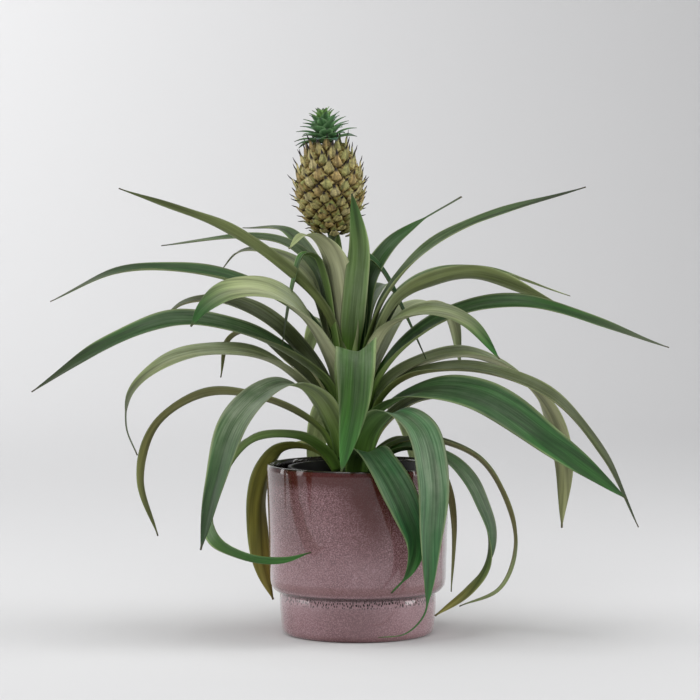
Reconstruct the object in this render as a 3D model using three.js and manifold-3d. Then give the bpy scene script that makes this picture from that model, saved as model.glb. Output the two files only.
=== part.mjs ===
// A potted ornamental pineapple plant: a glazed stoneware pot, the nursery pot and soil inside it,
// and the plant, whose stem carries a rosette of arching leaves and one small fruit with its crown.
// Millimetres, +Z up. The origin is on the floor at the pot's axis, and -Y is the front.

import * as THREE from 'three';
import { mergeVertices } from 'three/addons/utils/BufferGeometryUtils.js';
import Module from 'manifold-3d';

const wasm = await Module();
wasm.setup();

const { clamp, degToRad, euclideanModulo, lerp, smoothstep } = THREE.MathUtils;
const plant = new THREE.Group();

// Driving dimensions
const pot = {
  height: 136, rimRadius: 73, wall: 4, floor: 6, footRadius: 58, baseRadius: 61,
  bandRadius: 63, bandHeight: 33, lipRadius: 70.5, lipHeight: 44, rounding: 0.8, segments: 44,
};
const nurseryPot = {
  x: 4, top: 134, rimRadius: 60, rimBand: 8, rimStep: 3, baseRadius: 45, foot: 5, wall: 1.2,
  segments: 30, drainHoles: 5, drainHoleRadius: 4.5, drainCircle: 28,
};
const soil = { top: 118, sides: 24 };
const stem = {
  x: -5, root: 70, stockFoot: 100, stockTop: 150, stalkFoot: 240, lean: 15,
  buttRadius: 7.2, radius: 12, stalkRadius: 4.6, sides: 14,
};
const stalkBracts = { count: 4, first: 262, spacing: 9 };
const blade = {
  base: 2.2, middle: 1.3, edge: 0.8, threadHalf: 0.9, baseChannel: 50, channel: 44, claspShare: 0.3,
  footWidth: 0.72, widestAt: 0.25, taperFrom: 0.45, taperPower: 2, tipThinning: 0.4, step: 19,
};
const fruit = { bottom: 321.5, height: 70, lean: -4, eyes: 127, eyeRise: 1.7, bractRise: 4.2 };
const crown = {
  coreRadius: 6, coreHeight: 17, lean: -8, blades: 36, reach: [24, 15], pitch: [58, 4],
  recurve: [16, 16], half: [5.2, 3.4], foot: [3, 0.6],
};
const gap = 0.3;
const smallestEdge = 0.04;
const goldenAngle = degToRad(137.508);

// Colours and finishes
const glaze = { color: 0x8c6f78, roughness: 0.25 };
const blackPlastic = { color: 0x131314, roughness: 0.4 };
const peat = { color: 0x2a211b, roughness: 0.95 };
const leafGreen = { color: 0x47683f, roughness: 0.5 };
const stemGreen = { color: 0x5b7440, roughness: 0.6 };
const fruitSkin = { color: 0x8f8049, roughness: 0.7 };
const crownGreen = { color: 0x2f5a41, roughness: 0.55 };

function addMesh(name, geometry, finish) {
  const material = new THREE.MeshStandardMaterial({ ...finish, metalness: 0 });
  const mesh = new THREE.Mesh(geometry, material);
  mesh.name = name;
  plant.add(mesh);
  return mesh;
}

// Joins and cuts
function toSolid(geometry) {
  const bare = geometry.clone();
  bare.deleteAttribute('normal');
  bare.deleteAttribute('uv');
  const merged = mergeVertices(bare, 1e-4);
  return new wasm.Manifold(new wasm.Mesh({
    numProp: 3,
    vertProperties: Float32Array.from(merged.attributes.position.array),
    triVerts: Uint32Array.from(merged.index.array),
  }));
}

function toGeometry(solid) {
  const { vertProperties, triVerts } = solid.getMesh();
  return meshGeometry(Array.from(vertProperties), Array.from(triVerts));
}

function largestPiece(solid) {
  return solid.decompose().reduce((best, piece) => (piece.volume() > best.volume() ? piece : best));
}

function meshGeometry(positions, faces) {
  const geometry = new THREE.BufferGeometry();
  geometry.setAttribute('position', new THREE.Float32BufferAttribute(positions, 3));
  geometry.setIndex(faces);
  return geometry;
}

// Lathe turned about Z from [radius, height] points that run from the axis round to the axis
function turned(profile, segments) {
  const points = profile.map(([radius, height]) => new THREE.Vector2(radius, height));
  return new THREE.LatheGeometry(points, segments).rotateX(Math.PI / 2);
}

// Upright cylinder that stands on the given bottom
function uprightCylinder(radius, height, sides, x, y, bottom) {
  const cylinder = new THREE.CylinderGeometry(radius, radius, height, sides).rotateX(Math.PI / 2);
  return toSolid(cylinder.translate(x, y, bottom + height / 2));
}

// Triangles of an end cap, laddered between the ring's two halves so that a channelled ring is covered too
function capTriangles(sides) {
  const triangles = [];
  let low = 0;
  let high = sides - 1;
  while (high - low > 1) {
    triangles.push([low, low + 1, high]);
    low += 1;
    if (high - low > 1) {
      triangles.push([low, high - 1, high]);
      high -= 1;
    }
  }
  return triangles;
}

// Closed skin over rings of equal length, from the first ring to the last, capped at both ends. The
// second half of each ring is divided the mirrored way, so that a thin blade's two faces never cross.
function skin(rings) {
  const sides = rings[0].length;
  const faces = [];
  for (let ring = 0; ring < rings.length - 1; ring++) {
    for (let side = 0; side < sides; side++) {
      const a = ring * sides + side;
      const b = ring * sides + (side + 1) % sides;
      if (side < sides / 2) {
        faces.push(a, b, b + sides, a, b + sides, a + sides);
      } else {
        faces.push(a, b, a + sides, b, b + sides, a + sides);
      }
    }
  }
  const last = (rings.length - 1) * sides;
  for (const [low, middle, high] of capTriangles(sides)) {
    faces.push(high, middle, low);
    faces.push(last + low, last + middle, last + high);
  }
  return meshGeometry(rings.flat().flatMap((point) => point.toArray()), faces);
}

// Stoneware pot: rounded base band, a groove, an overhanging lip and a body that widens to the rim
const potOutside = [
  [0, 0],
  [pot.footRadius, 0],
  [pot.baseRadius, 3],
  [pot.bandRadius, pot.bandHeight - 7],
  [pot.bandRadius - pot.rounding, pot.bandHeight],
  [pot.lipRadius - 4, pot.bandHeight + 2],
  [pot.lipRadius - pot.rounding, pot.bandHeight + 6],
  [pot.lipRadius, pot.lipHeight],
  [pot.rimRadius, pot.height - 3],
  [pot.rimRadius - pot.rounding, pot.height],
];
const potInside = [
  [pot.rimRadius - pot.wall + 1, pot.height],
  [pot.rimRadius - pot.wall, pot.height - 3],
  [pot.lipRadius - pot.wall - 1, pot.lipHeight],
  [pot.bandRadius - pot.wall, pot.bandHeight],
  [pot.baseRadius - pot.wall - 1, pot.floor + 3],
  [pot.footRadius - pot.wall - 1, pot.floor],
  [0, pot.floor],
];
addMesh('pot', turned([...potOutside, ...potInside], pot.segments), glaze);

// Nursery pot: thin black plastic, a rolled rim band, and a drained base that stands on the pot's floor
// a little off its centre
const nurseryBase = pot.floor + gap;
const nurseryFloor = nurseryBase + nurseryPot.foot;
const nurseryMouth = nurseryPot.rimRadius - nurseryPot.rimStep;
const rimBandBottom = nurseryPot.top - nurseryPot.rimBand;
const nurseryShell = toSolid(turned([
  [0, nurseryFloor],
  [nurseryPot.baseRadius - 4, nurseryFloor],
  [nurseryPot.baseRadius - 3, nurseryBase],
  [nurseryPot.baseRadius, nurseryBase],
  [nurseryMouth + nurseryPot.wall, rimBandBottom],
  [nurseryPot.rimRadius, rimBandBottom],
  [nurseryPot.rimRadius + 0.5, nurseryPot.top],
  [nurseryMouth, nurseryPot.top],
  [nurseryPot.baseRadius - nurseryPot.wall, nurseryFloor + nurseryPot.wall],
  [0, nurseryFloor + nurseryPot.wall],
], nurseryPot.segments));

function drainHole(index) {
  const angle = index * 2 * Math.PI / nurseryPot.drainHoles;
  const x = nurseryPot.drainCircle * Math.cos(angle);
  const y = nurseryPot.drainCircle * Math.sin(angle);
  const bottom = nurseryFloor - nurseryPot.wall;
  return uprightCylinder(nurseryPot.drainHoleRadius, 4 * nurseryPot.wall, 8, x, y, bottom);
}

let nurserySolid = nurseryShell;
for (let index = 0; index < nurseryPot.drainHoles; index++) {
  nurserySolid = nurserySolid.subtract(drainHole(index));
}
addMesh('grow_pot', toGeometry(nurserySolid.translate(nurseryPot.x, 0, 0)), blackPlastic);

// Stem: a stout leafy stock that narrows to the fruit's stalk and leans a little to the left
const stemTop = fruit.bottom - gap;
const stemLine = new THREE.CatmullRomCurve3([
  [0, stem.root],
  [0, stem.stockTop],
  [-0.5, 205],
  [-3, 245],
  [-9, 285],
  [-stem.lean, stemTop],
].map(([aside, height]) => new THREE.Vector3(stem.x + aside, 0, height)));

function stemPlace(height) {
  let low = 0;
  let high = 1;
  for (let step = 0; step < 30; step++) {
    const middle = (low + high) / 2;
    if (stemLine.getPoint(middle).z < height) {
      low = middle;
    } else {
      high = middle;
    }
  }
  return stemLine.getPoint((low + high) / 2);
}

function stemRadius(height) {
  const narrowing = smoothstep(height, stem.stockTop, stem.stalkFoot);
  const swelling = smoothstep(height, stem.root, stem.stockFoot);
  return lerp(stem.radius, stem.stalkRadius, narrowing) * lerp(stem.buttRadius / stem.radius, 1, swelling);
}

const stemHeights = [
  stem.root, 85, stem.stockFoot, stem.stockTop, 165, 180, 195, 210, 225, stem.stalkFoot, 260, 290, stemTop,
];

function stemGeometry(grow = 0) {
  return skin(stemHeights.map((height) => {
    const centre = stemPlace(height);
    const radius = stemRadius(height) + grow;
    return Array.from({ length: stem.sides }, (_, side) => {
      const angle = side * 2 * Math.PI / stem.sides;
      return new THREE.Vector3(centre.x + radius * Math.cos(angle), radius * Math.sin(angle), height);
    });
  }));
}

// Stalk bracts: small narrow leaves that sheathe the fruit's stalk, fused to the stem. Each row of the
// outline is reach from the stem's centre line, rise from the bract's foot, and half the width.
const stalkBractOutline = [[3.2, 0, 4.4], [6.2, 9, 3.6], [8.5, 19, 2.2], [11.5, 27, 0.5]];
const stalkBractKeel = 1.2;

function stalkBract(index) {
  const angle = index * goldenAngle - 0.9;
  const foot = stemPlace(stalkBracts.first + index * stalkBracts.spacing);
  const out = new THREE.Vector3(Math.cos(angle), Math.sin(angle), 0);
  const side = new THREE.Vector3(-Math.sin(angle), Math.cos(angle), 0);
  return toSolid(skin(stalkBractOutline.map(([reach, rise, half]) => {
    const at = foot.clone().addScaledVector(out, reach).add(new THREE.Vector3(0, 0, rise));
    return [
      at.clone().addScaledVector(side, -half),
      at.clone().addScaledVector(out, stalkBractKeel),
      at.clone().addScaledVector(side, half),
    ];
  })));
}

let stemSolid = toSolid(stemGeometry());
for (let index = 0; index < stalkBracts.count; index++) {
  stemSolid = stemSolid.add(stalkBract(index));
}
addMesh('stem', toGeometry(stemSolid), stemGreen);

// Leaf blade: a channelled strip swept along its midrib. The midrib is a list of [reach, height, side]
// points from the stem's centre line, side being leftward as seen from the stem. The blade clasps the
// stem at its base, is widest a third of the way out, and ends in a long fine tip.
function midribCurve(leaf) {
  const heading = degToRad(leaf.heading);
  const clasp = degToRad(blade.baseChannel / 2);
  const start = (stemRadius(leaf.base) + gap) / Math.cos(clasp) + blade.base / 2;
  const route = [[start, leaf.base], ...leaf.midrib];
  const points = route.map(([reach, height, side = 0]) => new THREE.Vector3(
    stem.x + reach * Math.cos(heading) - side * Math.sin(heading),
    reach * Math.sin(heading) + side * Math.cos(heading),
    height,
  ));
  points[0].x += stemPlace(leaf.base).x - stem.x;
  return new THREE.CatmullRomCurve3(points, false, 'centripetal');
}

// Section at a share of the blade's length: half its width, how far its edges rise above its middle, how
// much of that rise lies below the midrib, half its thicknesses, and its tilt. grow adds a clearance.
function bladeSection(along, leaf, grow) {
  const claspPart = 1 - smoothstep(along, 0, blade.claspShare);
  const bladePart = Math.min(1, along / (1 - (leaf.thread ?? 0)));
  const tipPart = Math.max(0, (bladePart - blade.taperFrom) / (1 - blade.taperFrom));
  const flare = lerp(blade.footWidth, 1, smoothstep(along, 0, blade.widestAt));
  const taper = (1 - tipPart ** blade.taperPower) ** 0.9;
  const thin = 1 - blade.tipThinning * tipPart;
  const openChannel = leaf.channel ?? blade.channel;
  const channel = lerp(openChannel, blade.baseChannel, claspPart) * (1 - 0.3 * tipPart);
  const half = Math.max(blade.threadHalf, leaf.half * flare * taper) + grow;
  const lift = half * Math.tan(degToRad(channel) / 2);
  const tiltPart = smoothstep(along, 0.05, 0.5);
  const twistPart = smoothstep(along, 0.5, 1);
  return {
    half,
    lift,
    sink: lift * (1 - claspPart) / 2,
    middle: lerp(blade.middle, blade.base, claspPart) * thin / 2 + grow,
    edge: blade.edge * thin / 2 + 0.8 * grow,
    tilt: degToRad((leaf.tilt ?? 0) * tiltPart + (leaf.twist ?? 0) * twistPart),
  };
}

function leafGeometry(leaf, grow = 0) {
  const curve = midribCurve(leaf);
  const heading = degToRad(leaf.heading);
  const level = new THREE.Vector3(-Math.sin(heading), Math.cos(heading), 0);
  const steps = clamp(Math.round(curve.getLength() / blade.step), 8, 16);
  const rings = [];
  for (let step = 0; step <= steps; step++) {
    const along = step / steps;
    const { half, lift, sink, middle, edge, tilt } = bladeSection(along, leaf, grow);
    const centre = curve.getPointAt(along);
    const forward = curve.getTangentAt(along);
    if (step === 0) {
      centre.addScaledVector(forward, -grow);
    }
    const side = level.clone().addScaledVector(forward, -level.dot(forward)).normalize();
    const face = new THREE.Vector3().crossVectors(forward, side);
    const left = side.clone().multiplyScalar(Math.cos(tilt)).addScaledVector(face, Math.sin(tilt));
    const up = face.clone().multiplyScalar(Math.cos(tilt)).addScaledVector(side, -Math.sin(tilt));
    centre.addScaledVector(up, -sink);
    const at = (across, rise) => centre.clone().addScaledVector(left, across).addScaledVector(up, rise);
    rings.push([
      at(-half, lift - edge),
      at(0, -middle),
      at(half, lift - edge),
      at(half, lift + edge),
      at(0, middle),
      at(-half, lift + edge),
    ]);
  }
  return skin(rings);
}

// The leaves, from the innermost and highest down to the outermost. heading: degrees round the stem,
// 0 to the right and -90 to the front; base: height where the blade leaves the stem; half: half its
// greatest width; tilt: how far its left edge is raised; twist: how much more it is raised at the tip;
// channel: how far its edges curl up; thread: share of the length that is a bare thread; midrib: its
// route beyond the base.
const leaves = [
  {
    heading: -88, base: 222, half: 9.5,
    midrib: [[14, 248], [20, 283, 3], [25, 310, 5], [28, 335, 2], [29, 352, -1]],
  },
  {
    heading: 228, base: 218, half: 14,
    midrib: [[11, 250], [14, 270], [20, 295], [34, 313], [55, 320], [73, 309]],
  },
  { heading: 60, base: 226, half: 5, midrib: [[10, 255], [15, 285], [21, 296]] },
  {
    heading: 130, base: 216, half: 8, tilt: -10,
    midrib: [[17, 240], [34, 274], [54, 300], [82, 321], [141, 323]],
  },
  {
    heading: -6, base: 211, half: 8, tilt: 26,
    midrib: [[14, 236], [25, 268], [52, 302], [94, 328], [186, 357]],
  },
  {
    heading: 40, base: 206, half: 8, tilt: 30, thread: 0.2,
    midrib: [[12, 245], [18, 283], [38, 309], [66, 326], [118, 349]],
  },
  {
    heading: 196, base: 206, half: 9, tilt: 24,
    midrib: [[14, 238], [28, 267], [62, 298], [102, 324], [189, 356]],
  },
  { heading: 100, base: 205, half: 9, midrib: [[18, 235], [35, 270], [65, 292], [105, 296], [148, 276]] },
  {
    heading: 158, base: 202, half: 8, tilt: -16,
    midrib: [[20, 250], [30, 290], [55, 311], [92, 317], [168, 309]],
  },
  {
    heading: 25, base: 200, half: 6, tilt: 34,
    midrib: [[10, 255], [13, 301], [26, 292], [48, 254], [69, 213]],
  },
  {
    heading: 10, base: 196, half: 12, tilt: -34,
    midrib: [[17, 230], [34, 264], [63, 281], [102, 287], [176, 259]],
  },
  {
    heading: 200, base: 197, half: 6.5,
    midrib: [[16, 245], [24, 286], [31, 302], [41, 304], [49, 283], [59, 230]],
  },
  { heading: 70, base: 195, half: 8, midrib: [[16, 225], [32, 258], [58, 274], [85, 277], [112, 266]] },
  {
    heading: 146, base: 192, half: 9, tilt: -16,
    midrib: [[20, 234], [35, 276], [56, 296], [84, 305], [112, 304], [129, 289]],
  },
  {
    heading: 176, base: 190, half: 13,
    midrib: [[18, 226], [42, 258], [86, 281], [140, 292], [190, 289], [243, 265]],
  },
  {
    heading: -32, base: 186, half: 13, tilt: 20,
    midrib: [[17, 217], [34, 248], [69, 260], [107, 251], [135, 224]],
  },
  {
    heading: 26, base: 184, half: 10, tilt: 10,
    midrib: [[18, 220], [45, 271], [80, 288], [122, 290], [201, 267]],
  },
  {
    heading: 216, base: 180, half: 17, tilt: -34,
    midrib: [[19, 212], [42, 253], [77, 275], [118, 276], [141, 264], [153, 250]],
  },
  { heading: 104, base: 178, half: 10, midrib: [[22, 205], [48, 235], [88, 248], [130, 236], [168, 200]] },
  { heading: 48, base: 176, half: 11, midrib: [[20, 205], [56, 252], [91, 263], [121, 251], [136, 206]] },
  {
    heading: 4, base: 172, half: 13, tilt: 26,
    midrib: [[20, 200], [42, 231], [84, 257], [140, 264], [256, 228]],
  },
  {
    heading: 192, base: 170, half: 14, tilt: -24,
    midrib: [[20, 198], [44, 222], [88, 244], [144, 252], [200, 232], [256, 197]],
  },
  {
    heading: 163, base: 166, half: 14, tilt: -14,
    midrib: [[22, 195], [60, 243], [105, 265], [145, 262], [168, 241]],
  },
  { heading: 84, base: 164, half: 11, midrib: [[22, 190], [48, 220], [92, 232], [138, 214], [172, 168]] },
  {
    heading: -90, base: 164, half: 15, channel: 34,
    midrib: [[24, 200, 2], [50, 228, 4], [84, 231, 4], [105, 192, 2], [115, 140, -8]],
  },
  {
    heading: 20, base: 160, half: 14, tilt: 14, twist: -90,
    midrib: [[22, 187], [50, 212], [103, 222], [157, 194], [184, 139], [184, 77]],
  },
  {
    heading: -3, base: 157, half: 12, tilt: 18,
    midrib: [[24, 188], [48, 208], [102, 212], [160, 190], [201, 143], [229, 86]],
  },
  { heading: 150, base: 154, half: 9, midrib: [[26, 188], [60, 218], [95, 240], [116, 232], [124, 201]] },
  {
    heading: 203, base: 152, half: 13, tilt: -20, thread: 0.12,
    midrib: [[24, 179], [64, 219], [112, 229], [157, 221], [186, 198], [190, 172], [181, 149]],
  },
  {
    heading: -25, base: 148, half: 16, tilt: 44, channel: 26,
    midrib: [[24, 177], [58, 196], [112, 193], [172, 158], [233, 118]],
  },
  { heading: 66, base: 148, half: 11, midrib: [[24, 160], [45, 175], [78, 178], [115, 158], [146, 100]] },
  {
    heading: 184, base: 143, half: 11, tilt: 14, twist: 20,
    midrib: [[26, 164], [66, 188], [116, 193], [155, 169], [168, 124], [155, 79]],
  },
  {
    heading: 222, base: 140, half: 17, tilt: -6, channel: 30,
    midrib: [[22, 166], [40, 193], [64, 204], [92, 198], [122, 174], [142, 126], [156, 79]],
  },
  { heading: 104, base: 140, half: 11, midrib: [[24, 158], [50, 176], [84, 176], [118, 146], [138, 92]] },
  {
    heading: 14, base: 138, half: 11, tilt: 15,
    midrib: [[26, 165], [52, 186], [95, 189], [130, 177], [152, 160]],
  },
  {
    heading: -50, base: 133, half: 17, channel: 30, thread: 0.17,
    midrib: [
      [26, 162, -1], [54, 181, -4], [86, 169, -3], [98, 130, -1], [96, 85, -1], [93, 45],
      [91, 24, -3], [84, 10, -16], [76, 8, -37],
    ],
  },
  { heading: 92, base: 134, half: 11, midrib: [[26, 148], [60, 160], [95, 150], [118, 115], [126, 62]] },
  {
    heading: 206, base: 130, half: 13, tilt: 20, twist: -66,
    midrib: [
      [26, 146], [49, 160], [88, 159], [114, 131], [124, 98],
      [123, 82, 16], [106, 71, 37], [82, 69, 50], [62, 74, 55],
    ],
  },
  {
    heading: 18, base: 128, half: 9, tilt: 14, twist: 30,
    midrib: [[28, 145], [56, 154], [84, 150], [112, 135], [132, 104], [141, 66], [127, 31], [92, 17]],
  },
  {
    heading: -62, base: 127, half: 15, channel: 30, thread: 0.06,
    midrib: [
      [28, 144, -5], [52, 151, -12], [70, 147, -15], [82, 134, -11], [87, 112, -1], [88, 80, 10],
      [86, 58, 5], [82, 42, -9],
    ],
  },
  {
    heading: 154, base: 127, half: 13, tilt: 10, twist: 45,
    midrib: [[28, 143], [46, 149], [63, 146], [76, 131], [84, 105], [84, 75], [80, 45], [71, 22]],
  },
  {
    heading: -6, base: 125, half: 11, tilt: 26, twist: -80,
    midrib: [
      [28, 142], [44, 149], [64, 146], [80, 138], [93, 124], [102, 107], [111, 83],
      [110, 60, -8], [95, 38, -22], [70, 20, -40],
    ],
  },
  {
    heading: 38, base: 126, half: 8, tilt: 20,
    midrib: [[28, 142], [55, 152], [80, 143], [97, 118], [106, 80], [104, 24]],
  },
];

// Each leaf is trimmed where the stem or an inner leaf's sheath lies against it
const innerSolids = [toSolid(stemGeometry(gap))];
leaves.forEach((leaf, index) => {
  let solid = toSolid(leafGeometry(leaf));
  for (const inner of innerSolids) {
    solid = solid.subtract(inner);
  }
  innerSolids.push(toSolid(leafGeometry(leaf, gap)));
  const number = String(index + 1).padStart(2, '0');
  addMesh(`leaf_${number}`, toGeometry(largestPiece(solid.simplify(smallestEdge))), leafGreen);
});

// Soil: fills the nursery pot up to a lumpy top, with a plain hole round the stem
const soilBottom = nurseryFloor + nurseryPot.wall + gap;

function soilRing(radius, height, lump, centreX) {
  return Array.from({ length: soil.sides }, (_, side) => {
    const angle = side * 2 * Math.PI / soil.sides;
    const rise = lump * (Math.sin(3 * angle + radius) + Math.sin(7 * angle - radius / 3));
    return new THREE.Vector3(centreX + radius * Math.cos(angle), radius * Math.sin(angle), height + rise);
  });
}

function nurseryInnerRadius(height) {
  const share = (height - nurseryFloor) / (nurseryPot.top - nurseryFloor);
  return lerp(nurseryPot.baseRadius - nurseryPot.wall, nurseryMouth, share);
}

const soilBody = toSolid(skin([
  soilRing(nurseryInnerRadius(soilBottom) - 1, soilBottom, 0, nurseryPot.x),
  soilRing(nurseryInnerRadius(soil.top) - 1.2, soil.top - 3, 0, nurseryPot.x),
  soilRing(nurseryInnerRadius(soil.top) - 4, soil.top - 0.5, 0.7, nurseryPot.x),
  soilRing(38, soil.top + 1, 0.8, 0),
  soilRing(24, soil.top + 2, 0.6, stem.x),
]));
const stemHole = uprightCylinder(stem.radius + gap, 100, 2 * stem.sides, stem.x, 0, stem.root - gap);
addMesh('soil', toGeometry(soilBody.subtract(stemHole)), peat);

// Fruit: eyes packed in 8 and 13 crossing spirals. Point m of the one generating spiral lies at m golden
// angles; eye k is centred on point k and its four corners are points k - 10.5, k - 2.5, k + 10.5, k + 2.5.
const eyeCorners = [-10.5, -2.5, 10.5, 2.5];
const eyeShoulder = 0.7;
const bractFoot = 0.24;

const fruitRadii = [11, 17.5, 21.8, 23.4, 22, 17, 10];
const fruitOutline = new THREE.SplineCurve(
  fruitRadii.map((radius, step) => new THREE.Vector2(step / (fruitRadii.length - 1), radius)),
);

function spiralPoint(index) {
  const share = clamp((index + 0.5) / fruit.eyes, 0, 1);
  const angle = index * goldenAngle;
  const radius = fruitOutline.getPoint(share).y;
  return new THREE.Vector3(radius * Math.cos(angle), radius * Math.sin(angle), share * fruit.height);
}

function fruitGeometry() {
  const positions = [];
  const faces = [];
  const place = (point) => positions.push(...point.toArray()) / 3 - 1;
  const cornerNumbers = new Map();
  const cornerAt = (index) => {
    if (!cornerNumbers.has(index)) {
      cornerNumbers.set(index, place(spiralPoint(index)));
    }
    return cornerNumbers.get(index);
  };
  const joinRings = (lower, upper) => lower.forEach((corner, side) => {
    const next = (side + 1) % lower.length;
    faces.push(corner, lower[next], upper[next], corner, upper[next], upper[side]);
  });
  for (let eye = 0; eye < fruit.eyes; eye++) {
    const share = (eye + 0.5) / fruit.eyes;
    const centre = spiralPoint(eye);
    const outward = new THREE.Vector3(centre.x, centre.y, 0).normalize();
    const inset = (scale, rise) => eyeCorners.map((offset) => (
      place(spiralPoint(eye + offset).lerp(centre, 1 - scale).addScaledVector(outward, rise))
    ));
    const corners = eyeCorners.map((offset) => cornerAt(eye + offset));
    const shoulder = inset(eyeShoulder, fruit.eyeRise);
    const foot = inset(bractFoot, fruit.eyeRise + 0.5);
    const curl = (1 + 0.5 * Math.sin(eye * 2.7)) * (1 - 0.8 * smoothstep(share, 0.9, 1));
    const tip = centre.clone().addScaledVector(outward, fruit.eyeRise + fruit.bractRise * curl);
    tip.z += 3 + 3 * share;
    const tipNumber = place(tip);
    joinRings(corners, shoulder);
    joinRings(shoulder, foot);
    foot.forEach((corner, side) => faces.push(corner, foot[(side + 1) % foot.length], tipNumber));
  }
  const capRing = (indices) => indices
    .map((index) => ({ index, angle: euclideanModulo(index * goldenAngle, 2 * Math.PI) }))
    .sort((a, b) => a.angle - b.angle)
    .map(({ index }) => cornerAt(index));
  const halves = Array.from({ length: 21 }, (_, step) => step - 10.5);
  const bottomRing = capRing(halves);
  const topRing = capRing(halves.map((half) => half + fruit.eyes));
  const bottomPole = place(new THREE.Vector3(0, 0, 0));
  const topPole = place(new THREE.Vector3(0, 0, fruit.height));
  for (let side = 0; side < bottomRing.length; side++) {
    const next = (side + 1) % bottomRing.length;
    faces.push(bottomPole, bottomRing[next], bottomRing[side]);
    faces.push(topPole, topRing[side], topRing[next]);
  }
  return meshGeometry(positions, faces);
}

const fruitMesh = addMesh('fruit', fruitGeometry(), fruitSkin);
fruitMesh.position.set(stem.x - stem.lean, 0, fruit.bottom);
fruitMesh.rotation.y = degToRad(fruit.lean);

// Crown: short recurved blades in a spiral on a small core that stands on the fruit, the lowest and
// longest leaning far out and the innermost nearly upright. Each pair of the crown's dimensions is the
// lowest blade's and the innermost blade's.
const crownBladeWidths = [0.8, 1, 0.75, 0.12];
const crownKeel = 0.9;

function crownBlade(index) {
  const share = index / (crown.blades - 1);
  const between = ([lowest, innermost]) => lerp(lowest, innermost, share);
  const angle = index * goldenAngle;
  const out = new THREE.Vector3(Math.cos(angle), Math.sin(angle), 0);
  const side = new THREE.Vector3(-Math.sin(angle), Math.cos(angle), 0);
  const stretch = between(crown.reach) / (crownBladeWidths.length - 1);
  const recurve = degToRad(between(crown.recurve));
  const half = between(crown.half);
  const at = out.clone().multiplyScalar(between(crown.foot));
  at.z = 2.6 + share * (crown.coreHeight - 4);
  let pitch = degToRad(between(crown.pitch)) - recurve;
  return toSolid(skin(crownBladeWidths.map((width, step) => {
    if (step > 0) {
      pitch += recurve;
      at.addScaledVector(out, stretch * Math.sin(pitch));
      at.z += stretch * Math.cos(pitch);
    }
    const keel = new THREE.Vector3(out.x * Math.cos(pitch), out.y * Math.cos(pitch), -Math.sin(pitch));
    const cup = 0.35 * half * width;
    return [
      at.clone().addScaledVector(side, -half * width).addScaledVector(keel, -cup),
      at.clone().addScaledVector(keel, crownKeel),
      at.clone().addScaledVector(side, half * width).addScaledVector(keel, -cup),
    ];
  })));
}

let crownSolid = toSolid(turned([
  [0, 0],
  [crown.coreRadius / 2, 0],
  [crown.coreRadius, 1.5],
  [crown.coreRadius, crown.coreHeight * 0.4],
  [crown.coreRadius * 0.55, crown.coreHeight * 0.8],
  [0, crown.coreHeight],
], 8));
for (let index = 0; index < crown.blades; index++) {
  crownSolid = crownSolid.add(crownBlade(index));
}
const crownMesh = addMesh('crown', toGeometry(crownSolid), crownGreen);
crownMesh.position.set(0, 0, fruit.height + gap).applyEuler(fruitMesh.rotation).add(fruitMesh.position);
crownMesh.rotation.y = degToRad(crown.lean);

export default plant;
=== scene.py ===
import math
import random
from collections import namedtuple

import bmesh
import bpy
import numpy as np
from mathutils import Matrix, Vector, noise


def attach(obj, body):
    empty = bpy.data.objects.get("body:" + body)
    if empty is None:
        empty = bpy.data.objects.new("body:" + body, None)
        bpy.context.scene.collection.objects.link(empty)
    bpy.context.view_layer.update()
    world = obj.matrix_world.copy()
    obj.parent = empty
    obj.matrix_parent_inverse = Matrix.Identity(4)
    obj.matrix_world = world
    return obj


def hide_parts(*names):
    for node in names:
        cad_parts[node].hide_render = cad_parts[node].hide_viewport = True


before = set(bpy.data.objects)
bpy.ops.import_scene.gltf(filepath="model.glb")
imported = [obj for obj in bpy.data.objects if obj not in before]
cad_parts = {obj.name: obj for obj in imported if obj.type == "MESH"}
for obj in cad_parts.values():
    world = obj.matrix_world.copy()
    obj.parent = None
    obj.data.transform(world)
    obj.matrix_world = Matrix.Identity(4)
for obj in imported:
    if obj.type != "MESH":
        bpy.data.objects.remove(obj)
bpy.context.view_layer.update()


# The stoneware pot: thrown on a wheel in one piece, with a lower band, a turned groove and a lip that
# overhangs it, then dipped in a thick glaze. The wheel leaves the wall slightly uneven, which makes its
# reflections waver.
MM = 0.001


def linear(code):
    """An sRGB hex colour as linear red, green, blue and alpha."""
    channels = [int(code[i:i + 2], 16) / 255 for i in (1, 3, 5)]
    return tuple(c / 12.92 if c <= 0.04045 else ((c + 0.055) / 1.055) ** 2.4 for c in channels) + (1.0,)


def feed(tree, node, inputs):
    """Gives a node's inputs, each named or numbered, a value or another node's output."""
    for name, value in inputs.items():
        if isinstance(value, bpy.types.NodeSocket):
            tree.links.new(value, node.inputs[name])
        else:
            node.inputs[name].default_value = value


def add_node(tree, kind, inputs=None, stops=None, **settings):
    """Adds a node, sets its properties and feeds its inputs. A ramp's stops run from place 0 to place 1."""
    node = tree.nodes.new("ShaderNode" + kind)
    for name, value in settings.items():
        setattr(node, name, value)
    for position, code in stops or ():
        ramp = node.color_ramp.elements
        stop = ramp[0] if position == 0 else ramp[-1] if position == 1 else ramp.new(position)
        stop.position = position
        stop.color = linear(code)
    feed(tree, node, inputs or {})
    return node


def grain_of(tree, where, scale, detail, roughness=0.5, **settings):
    """A noise's value, with so many patches to a metre."""
    return add_node(tree, "TexNoise", {"Vector": where, "Scale": scale, "Detail": detail,
                                       "Roughness": roughness}, **settings).outputs["Fac"]


def mapped(tree, value, start=0.0, end=1.0, low=0.0, high=1.0):
    """A value that runs from low to high while the given one runs from start to end."""
    return add_node(tree, "MapRange", {"Value": value, "From Min": start, "From Max": end,
                                       "To Min": low, "To Max": high}).outputs[0]


def product(tree, a, b):
    """Two values multiplied."""
    return add_node(tree, "Math", {0: a, 1: b}, operation="MULTIPLY").outputs[0]


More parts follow.
